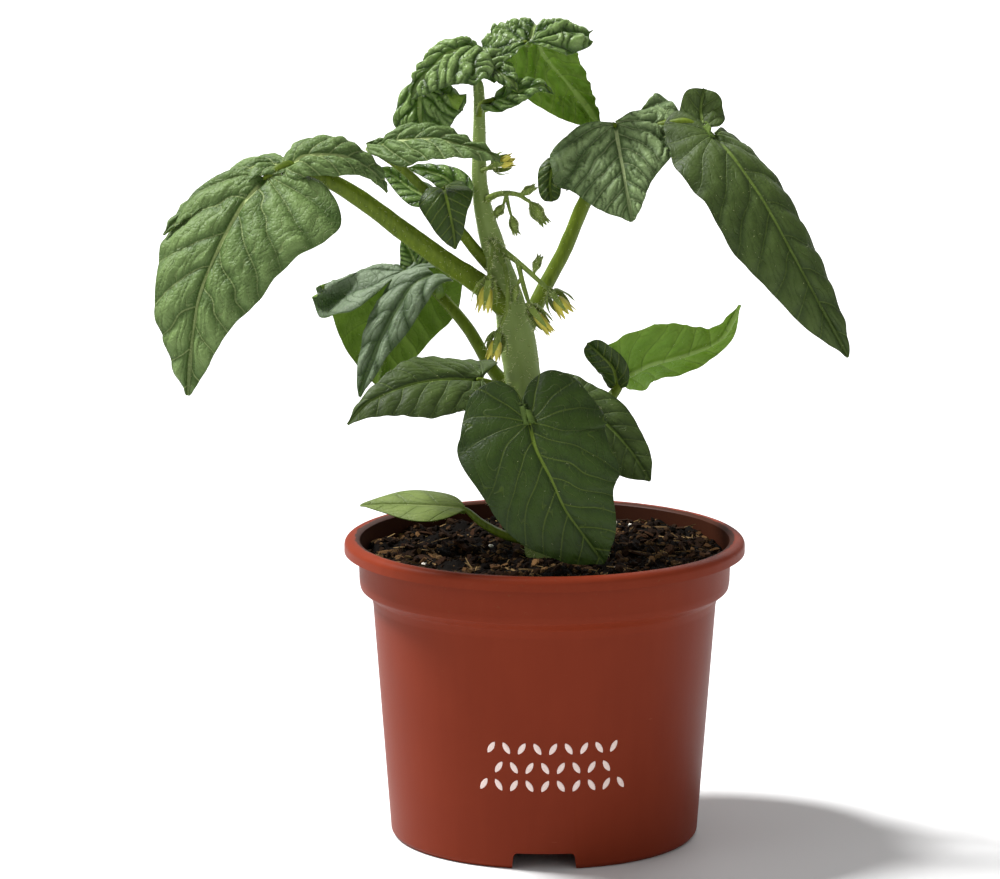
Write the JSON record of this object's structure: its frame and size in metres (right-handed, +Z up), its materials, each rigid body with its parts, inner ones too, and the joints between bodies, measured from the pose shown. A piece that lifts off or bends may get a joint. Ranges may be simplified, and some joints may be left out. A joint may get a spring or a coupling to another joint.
{
  "type": "tomato plant in a pot",
  "caption": "Young tomato plant in flower, with hairy stem, drooping leaflets and yellow flower trusses, in a round rolled-lip plastic nursery pot filled with potting mix.",
  "frame": {"origin": "on the pot's axis, at the surface the pot stands on", "axes": "+Z up the plant, +X to the right and +Y away from the side the plant is usually seen from"},
  "size_m": [0.2035, 0.12, 0.2456],
  "materials": {
    "pot_plastic": "satin terracotta-coloured moulding",
    "potting_mix": "matt, moist peat and bark crumbs",
    "stem_skin": "matt, hairy green stem",
    "leaf_skin": "matt green leaf",
    "young_leaf": "matt light green leaf",
    "sepals": "matt dark green, hairy",
    "petals": "matt yellow petal"
  },
  "bodies": {
    "root": {"pot": "pot_plastic", "soil": "potting_mix", "stem": "stem_skin", "leaf_left_high": "leaf_skin", "leaf_right_high": "leaf_skin", "leaf_left_mid": "leaf_skin", "leaf_left_low": "leaf_skin", "leaf_front_low": "leaf_skin", "leaf_front_right": "leaf_skin", "leaf_right_low": "leaf_skin", "leaf_inner": "leaf_skin", "seed_leaf": "young_leaf", "crown_shoot": "young_leaf", "crown_leaf_right": "young_leaf", "truss_lower": "sepals", "truss_upper": "sepals", "flower_stalk_single": "sepals", "petals_1": "petals", "petals_2": "petals", "petals_3": "petals", "petals_4": "petals", "petals_5": "petals"}
  },
  "joints": []
}
